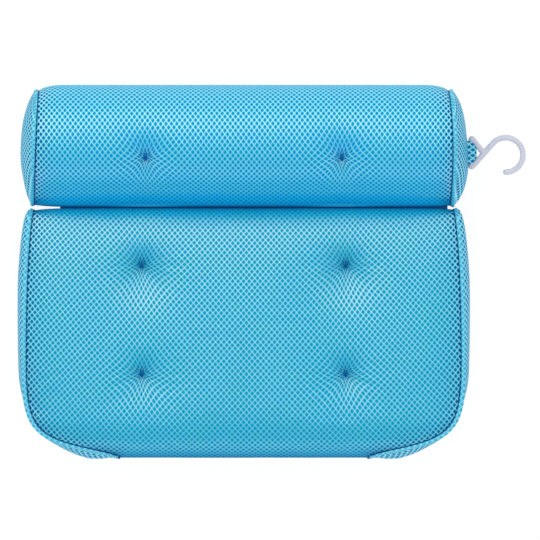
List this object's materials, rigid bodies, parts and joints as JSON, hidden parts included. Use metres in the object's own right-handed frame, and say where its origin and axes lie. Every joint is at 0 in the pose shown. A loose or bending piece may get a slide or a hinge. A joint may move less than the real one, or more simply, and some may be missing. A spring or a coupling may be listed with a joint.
{
  "type": "bath pillow",
  "caption": "Two-section spacer-mesh bath pillow: a tufted headrest roll folds on a sewn line above a boxed back pad, held to the bath by suction cups, with a hanging hook on one end.",
  "frame": {"origin": "under the middle of the whole pillow, hook included, on the plane of the suction cup lips", "axes": "+X across the bath towards the end that carries the hook, +Y from the back pad to the headrest roll, +Z out of the face that the bather leans on"},
  "size_m": [0.424, 0.3126, 0.1051],
  "materials": {
    "mesh": "blue warp-knitted spacer mesh with staggered holes",
    "fill": "white hollow-fibre filling",
    "thread": "dark blue sewing thread and tie cord",
    "cup": "clear soft vinyl",
    "hook": "pale translucent moulded plastic"
  },
  "bodies": {
    "backrest": {"backrest_cover": "mesh", "backrest_gusset_left": "mesh", "backrest_gusset_right": "mesh", "backrest_fill": "fill", "suction_cup_upper_left": "cup", "suction_cup_upper_right": "cup", "suction_cup_lower_left": "cup", "suction_cup_lower_right": "cup", "tuft_cord_upper_left": "thread", "tuft_cord_upper_right": "thread", "tuft_cord_lower_left": "thread", "tuft_cord_lower_right": "thread", "fold_stitching": "thread"},
    "headrest": {"headrest_cover": "mesh", "headrest_end_panel_left": "mesh", "headrest_end_panel_right": "mesh", "headrest_fill": "fill", "hook_tab": "mesh", "suction_cup_headrest_left": "cup", "suction_cup_headrest_right": "cup", "tuft_cord_headrest_left": "thread", "tuft_cord_headrest_right": "thread"},
    "hook": {"hanging_hook": "hook"}
  },
  "joints": [
    {"name": "headrest_fold", "type": "hinge", "parent": "backrest", "child": "headrest", "pos_m": [0, 0.05376, 0.052], "axis": [1, 0, 0], "range_deg": [-50, 60]},
    {"name": "hook_swing", "type": "hinge", "parent": "headrest", "child": "hook", "pos_m": [0.16661, 0.09941, 0.059], "axis": [0, 1, 0], "range_deg": [-90, 90]}
  ]
}
